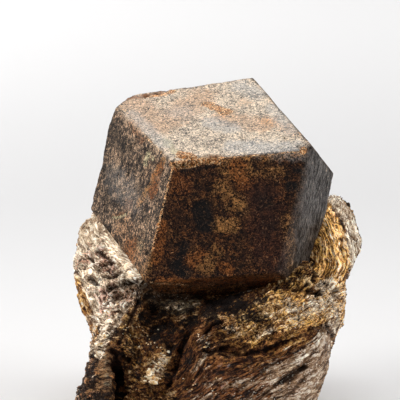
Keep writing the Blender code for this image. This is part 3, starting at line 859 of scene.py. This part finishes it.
def buildSchist(crystalNormals, crystalHeights):
    piece = copyNode("schist_matrix", "schist")
    remesh(piece, schist["voxel"])
    places = cornersOf(piece)
    outward = normalsOf(piece)
    tree = treeOf(piece)
    print("schist: corners to weather:", len(places))

    shares, rest = zoneShares(places, tree)
    ledge = blended(shares, rest, "ledge")
    rubble = blended(shares, rest, "rubble")
    depth = layerDepth(places, tree)

    off = places - np.array(heart)
    push = schist["lump"] * rough(places, schist["lumpSize"], (3, 5, 1))
    for number, (thickness, height) in enumerate(schist["ledges"]):
        push += ledge * height * 1.5 * brokenLayers(places, depth, thickness, (number * 5, 2, 7))
    for number, (along, across, height) in enumerate(schist["plates"]):
        push += ledge * height * facetHeight(places, off, depth, along, across, (number * 3, 8, 4))
    for number, (along, across, height) in enumerate(schist["rubble"]):
        push += rubble * height * facetHeight(places, off, depth, along, across, (6, number * 3, 2))
    push += schist["grain"] * fractal(places, schist["grainSize"], 2, (1, 6, 4)) * (0.6 + 0.8 * rubble)
    pits = ease(rough(places, schist["pitSize"], (4, 4, 1)) + 0.5 * rough(places, 0.7 * mm), 0.30, 0.80)
    push -= schist["pit"] * pits * (0.1 + rubble)
    crevices = np.zeros(len(places))
    bend = 0.35 * rough(places, 1.0 * mm, (2, 2, 2))
    for number, size in enumerate(schist["creviceSizes"]):
        ragged = np.abs(rough(places, size, (number * 9, 1, 1)) + 0.4 * bend)
        turns = np.column_stack([depth / (0.45 * size), np.full(len(places), 3.0), np.full(len(places), 7.0)])
        layered = np.abs(rough(places / (2.6 * size) + turns, 1.0, (number * 5, 3, 8)) + 0.3 * bend)
        lines = (1 - ease(ragged, 0.01, 0.10)) * rubble + (1 - ease(layered, 0.02, 0.13)) * ledge * 0.7
        crevices = np.maximum(crevices, np.clip(lines, 0, 1))
    push -= schist["crevice"] * crevices
    relief = push.copy()
    tatter = 0.4 * fractal(places, schist["tatterSize"], 3, (1, 5, 1))
    cut, shadeRoundCuts, lit = np.zeros(len(places)), np.zeros(len(places)), np.zeros(len(places))
    for points, width, deep in schist["cuts"]:
        apart = apartFrom(places, tree, points, width)
        cut = np.maximum(cut, deep * mm * ease(1 - apart - tatter, 0, 0.6))
        # painted shade in and round each cut
        shadeRoundCuts = np.maximum(shadeRoundCuts, ease(1.7 - apart - 2 * tatter, 0, 1.2))
    for points, width, high in schist["raises"]:
        apart = apartFrom(places, tree, points, width)
        push += high * mm * ease(1 - apart - 0.6 * tatter, 0, 1)
        # painted highlight along each ridge
        lit = np.maximum(lit, ease(1.4 - apart - 2 * tatter, 0, 1.2))
    # the flat cut base stays flat, and the socket closes on the crystal except under its foot
    above = ease(places[:, 2], 0.05 * mm, 1.2 * mm)
    gap = (places @ crystalNormals.T - crystalHeights).max(axis=1)
    nearest = np.argmax(places @ crystalNormals.T - crystalHeights, axis=1)
    inSocket = 1 - ease(gap, schist["socket"], 0.9 * mm)
    drawIn = (gap + schist["seat"]) * (1 - ease(gap, schist["socket"], 1.1 * mm))
    moved = places + outward * ((push * (1 - inSocket) - cut) * above)[:, None]
    moved = moved - crystalNormals[nearest] * (drawIn * above)[:, None]
    setCorners(piece, moved)

    wobble = 0.5 * fractal(places, 2.2 * mm, 3, (2, 9, 3))
    for mineral in minerals:
        cover = blended(shares, rest, mineral, 0.5 * rough(places, schist["patchSize"], (len(mineral), 3, 3)))
        paintAttribute(piece, mineral, np.clip(cover + 0.35 * wobble * (cover > 0.02), 0, 1))
    # painted shade: crevices, pits, low places and cuts are darkened
    hollowShade = 0.8 * crevices + 0.5 * pits * rubble
    hollowShade += ease(-relief, 0.30 * mm, 0.90 * mm) + ease(cut, 0.15 * mm, 0.6 * mm)
    paintAttribute(piece, "hollowShade", np.clip(hollowShade, 0, 1))
    # painted highlight: raised places turn to the paler quartz colour
    paintAttribute(piece, "raisedHighlight", ease(relief, 0.05 * mm, 0.5 * mm))
    paintAttribute(piece, "layer", depth / mm)
    paintAttribute(piece, "bend", rubble * fractal(places, 2.0 * mm, 3, (1, 1, 8)))
    paintAttribute(piece, "granular", blended(shares, rest, "granular"))
    paintAttribute(piece, "calm", blended(shares, rest, "calm"))
    # real stains and painted shade, with painted shade round the cuts and a painted highlight along the
    # ridges
    stainedAndShaded = blended(shares, rest, "stainAndShade") + 0.10 * wobble + schist["cutShade"] * shadeRoundCuts - schist["lit"] * lit
    paintAttribute(piece, "stainAndShade", np.clip(stainedAndShaded, -0.4, 0.85))

    thin(piece, schist["triangles"])
    bpy.ops.object.shade_smooth()
    piece.data.materials.clear()
    piece.data.materials.append(schistMaterial())
    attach(piece, "root")
    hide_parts("schist_matrix")
    return piece


schistColours = {
    "ground": (0.046, 0.019, 0.009),
    "groundLight": (0.28, 0.150, 0.070),
    "silver": (0.72, 0.565, 0.395),
    "quartz": (1.0, 0.93, 0.80),
    "gold": (0.82, 0.46, 0.115),
    "goldDeep": (0.42, 0.185, 0.050),
    "rust": (0.36, 0.145, 0.044),
    "rustDeep": (0.11, 0.038, 0.013),
    "green": (0.20, 0.175, 0.120),
    "greenDeep": (0.050, 0.044, 0.032),
    "straw": (0.82, 0.62, 0.36),
    "mauve": (0.42, 0.195, 0.125),
    "mauveDeep": (0.12, 0.040, 0.024),
    "dark": (0.012, 0.006, 0.0035),
    # painted shade in crevices, pits and cuts
    "crevice": (0.022, 0.009, 0.005),
    "warmShadow": (1.0, 0.66, 0.46),  # what shaded places keep of each colour
}


def schistMaterial():
    shade = Shade("schist_surface", schistColours)
    silver, gold, rust, dark, green, mauve = shade.painted(*minerals)
    hollowShade, raisedHighlight, layer, bend = shade.painted("hollowShade", "raisedHighlight", "layer", "bend")
    calm, granular, stainAndShade = shade.painted("calm", "granular", "stainAndShade")

    # patterns drawn out along the layers, bent where the rock is rubble
    bent = layer + bend * 0.9
    size = schist["patterns"]
    bands = shade.strokes(*size["bands"], bent, 7, 3, 0.62)
    lines = shade.strokes(*size["lines"], bent, 3, 3, 0.70)
    others = shade.strokes(*size["others"], bent, 41, 3, 0.72)
    hairs = shade.strokes(*size["hairs"], bent + (bands - 0.5) * 1.2, 9, 2, 0.72)
    clouds = shade.speckle(size["clouds"], 5, 0.74, 5, 1.0)
    curls = shade.speckle(size["curls"], 3, 0.78, 13, 1.5)
    grit = shade.grit(size["grit"], 3)
    ragged = granular * 0.8 + 0.08
    middling = clouds * 0.4 + curls * 0.6
    pattern = lines + (middling - lines) * ragged
    second = others + (clouds - others) * ragged
    broad = bands + (clouds - bands) * ragged
    finest = hairs + (curls - hairs) * ragged
    uneven = 1 - calm * 0.55

    colour = shade.mixed((pattern * 0.6 + broad * 0.4).over(0.5, 0.05), "ground", "groundLight")
    greenish = shade.mixed(finest.over(0.5, 0.06), "greenDeep", "green")
    colour = shade.mixed(shade.covered(broad * 0.5 + second * 0.5, green, 0.04), colour, greenish)
    reddish = shade.mixed(finest.over(0.5, 0.06), "rustDeep", "rust")
    colour = shade.mixed(shade.covered(broad * 0.3 + second * 0.7, rust, 0.03), colour, reddish)
    yellow = shade.mixed(clouds.over(0.52, 0.06), "gold", "straw")
    golden = shade.mixed((finest * 0.7 + pattern * 0.3).over(0.51, 0.05), "goldDeep", yellow)
    colour = shade.mixed(shade.covered(broad * 0.25 + pattern * 0.75, gold, 0.03), colour, golden)
    # raised places are painted paler, a painted highlight
    silvery = shade.mixed((finest * 0.7 + raisedHighlight * 0.12 + broad * 0.2).over(0.50, 0.05), "silver", "quartz")
    colour = shade.mixed(shade.covered(pattern * 0.75 + broad * 0.25, silver, 0.03), colour, silvery)
    pinkish = shade.mixed(finest.over(0.5, 0.05), "mauveDeep", "mauve")
    pink = shade.covered(second * 0.7 + curls * 0.3, mauve * 0.70, 0.03) * 0.85
    colour = shade.mixed(pink, colour, pinkish)
    specks = curls.over(0.56, 0.03) * (1 - calm) * (gold * 0.5 + rust * 0.35).clamped()
    colour = shade.mixed(specks.clamped(), colour, "gold")
    shadow = (1 - pattern) * 0.65 + (1 - broad) * 0.35
    colour = shade.mixed(shade.covered(shadow, dark, 0.03) * 0.95, colour, "dark")
    cracks = (1 - finest.over(0.42, 0.04)) * uneven * 0.75
    colour = shade.mixed(cracks, colour, "ground")
    # painted shade in the crevices, pits and cuts
    colour = shade.mixed((hollowShade * 0.9 * (1 - calm * 0.7)).clamped(), colour, "crevice")
    crisp = (finest.over(0.51, 0.035) - 0.5) * second.over(0.47, 0.10)
    level = (grit - 0.5) * 0.5 + (hairs - 0.5) * 2.4 + (curls - 0.5) * 2.4 + crisp * 0.8
    level = level + (clouds - 0.5) * 3.4 + (pattern - 0.5) * 1.8 + (broad - 0.5) * 1.6
    # stains and painted shade darken the colour
    level = (level * uneven + 1.12) * (1 - stainAndShade)
    warmth = shade.node("VectorMath", {"operation": "MULTIPLY"}, {0: colour, 1: schistColours["warmShadow"]})
    colour = shade.mixed(((1 - level) * 1.3).clamped(), colour, warmth)
    colour = shade.scaled(colour, level.clampedTo(0.12, 2.2))
    flecks = grit.over(0.93, 0.02) * curls.over(0.52, 0.06) * silver.over(0.45, 0.15)
    colour = shade.mixed(flecks.clamped() * 0.8, colour, "quartz")

    roughness = (0.55 + (curls - 0.5) * 0.5 - silver * 0.12 + hollowShade * 0.2 - (hairs - 0.5) * 0.3).clamped()
    steps = pattern.over(0.5, 0.06) * 0.45 + finest.over(0.5, 0.07) * 0.3 + broad.over(0.52, 0.05) * 0.3
    relief = (lines * 0.4 + hairs * 0.3 + curls * 0.5 + steps + grit * 0.06) * uneven
    normal = shade.node("Bump", {}, {"Strength": 0.9, "Distance": schist["bump"], "Height": relief})
    glints = (finest.over(0.60, 0.04) * (silver + gold * 0.5)).clamped()
    return shade.finished(colour, roughness, normal,
                          {"IOR": 1.5, "Specular IOR Level": 0.15, "Coat Weight": glints,
                           "Coat Roughness": 0.24, "Coat IOR": 1.6})


mica = {
    "across": 0.62 * mm,
    "thick": 0.07 * mm,
    "lean": 0.55,  # how far they lean away from lying flat
    "seed": 11,
    "stretch": (1.25, 0.85, 1),
    "gold": (0.80, 0.50, 0.20),
    "pale": (1.0, 0.90, 0.68),
    # points of the frame, how far round them in points of the frame, how many, how large
    "patches": [
        ([(151, 377), (157, 366), (165, 357)], 7, 60, 0.85), ([(150, 373), (154, 379)], 4, 16, 1.9),
        ([(97, 356), (101, 345), (106, 336)], 2, 14, 1.1), ([(150, 340), (128, 330)], 14, 26, 0.5),
        ([(206, 344), (200, 336)], 5, 12, 0.6), ([(322, 240), (334, 262)], 6, 16, 0.6),
        ([(300, 302), (318, 312)], 8, 18, 0.5), ([(118, 300), (108, 314)], 9, 22, 0.5),
        ([(190, 385), (215, 392)], 10, 12, 0.45), ([(96, 240), (88, 226)], 6, 10, 0.6),
    ],
}


def buildFlakes(rock):
    tree = treeOf(rock)
    chance = Random(mica["seed"])
    deselectAll()
    bpy.ops.mesh.primitive_cylinder_add(vertices=6, radius=mica["across"] / 2, depth=mica["thick"])
    first = bpy.context.active_object
    first.name = first.data.name = "micaFlakes"
    bpy.ops.object.mode_set(mode="EDIT")
    bpy.ops.mesh.select_all(action="SELECT")
    bpy.ops.transform.resize(value=mica["stretch"], center_override=(0, 0, 0))
    bpy.ops.object.mode_set(mode="OBJECT")
    flakes = []
    for points, reach, count, size in mica["patches"]:
        for _ in range(count):
            x, y = chance.choice(points)
            spot = (x + chance.gauss(0, reach / 2), y + chance.gauss(0, reach / 2))
            place, normal = seenAt(tree, spot)
            lean = Vector([chance.uniform(-1, 1) for _ in range(3)]) * mica["lean"]
            makeActive(first)
            bpy.ops.object.duplicate()
            flake = bpy.context.active_object
            flake.location = place
            flake.rotation_euler = (normal + lean).to_track_quat("Z", "Y").to_euler()
            share = size * chance.uniform(0.6, 1.3)
            flake.scale = (share, share * chance.uniform(0.7, 1.0), 1)
            flakes.append(flake)
    deselectAll()
    for flake in flakes:
        flake.select_set(True)
    bpy.context.view_layer.objects.active = flakes[0]
    bpy.ops.object.transform_apply(location=True, rotation=True, scale=True)
    first.select_set(True)
    bpy.context.view_layer.objects.active = first
    bpy.ops.object.join()
    # the pattern that the others were copied from, which lies inside the rock, goes
    bpy.ops.object.mode_set(mode="EDIT")
    bpy.ops.mesh.select_all(action="DESELECT")
    bpy.ops.object.mode_set(mode="OBJECT")
    for corner in first.data.vertices:
        corner.select = corner.co.length < mica["across"]
    bpy.ops.object.mode_set(mode="EDIT")
    bpy.ops.mesh.select_mode(type="VERT")
    bpy.ops.mesh.delete(type="VERT")
    bpy.ops.object.mode_set(mode="OBJECT")
    first.data.materials.clear()
    first.data.materials.append(micaMaterial())
    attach(first, "root")
    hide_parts("schist_matrix")


def micaMaterial():
    shade = Shade("mica_flakes", mica)
    clouds = shade.speckle(0.9, 3, 0.7, 21)
    colour = shade.mixed(clouds.over(0.5, 0.06), "gold", "pale")
    roughness = (0.30 + (clouds - 0.5) * 0.6).clamped()
    relief = shade.speckle(0.3, 2, 0.6, 5)
    normal = shade.node("Bump", {}, {"Strength": 0.4, "Distance": 0.05 * mm, "Height": relief})
    return shade.finished(colour, roughness, normal, {"IOR": 1.6, "Coat Weight": 0.4, "Coat Roughness": 0.2})


floorLook = {
    "side": 8,  # metres
    # painted light and shade: the floor is paler near the specimen and far behind it, darker between
    "near": (0.765, 0.765, 0.775),
    "far": (0.64, 0.64, 0.65),
    "back": (0.79, 0.79, 0.80),
    "nearToFar": (110, 70),  # mm from the middle, and how soft the change is
    "farToBack": (290, 130),
    "grain": 1.5,  # mm
    "bump": 0.1 * mm,
    "roughness": 0.7,
}


def buildFloor():
    deselectAll()
    bpy.ops.mesh.primitive_plane_add(size=floorLook["side"], location=(0, 0, 0))
    floor = bpy.context.active_object
    floor.name = "floor"
    shade = Shade("pale_floor", floorLook)
    apart = shade.node("VectorMath", {"operation": "LENGTH"}, {0: shade.place}, "Value")
    # painted light and shade: the colour changes with distance from the middle
    colour = shade.mixed(apart.over(*floorLook["nearToFar"]), "near", "far")
    colour = shade.mixed(apart.over(*floorLook["farToBack"]), colour, "back")
    grain = shade.speckle(floorLook["grain"])
    normal = shade.node("Bump", {}, {"Strength": 0.05, "Distance": floorLook["bump"], "Height": grain})
    floor.data.materials.append(shade.finished(colour, floorLook["roughness"], normal, {}))


addCamera()
addLights()
buildFloor()
print("view, light and floor are set")
crystalNormals, crystalHeights = buildGarnet()
print("garnet built")
rock = buildSchist(crystalNormals, crystalHeights)
print("schist built")
buildFlakes(rock)
print("mica flakes built")
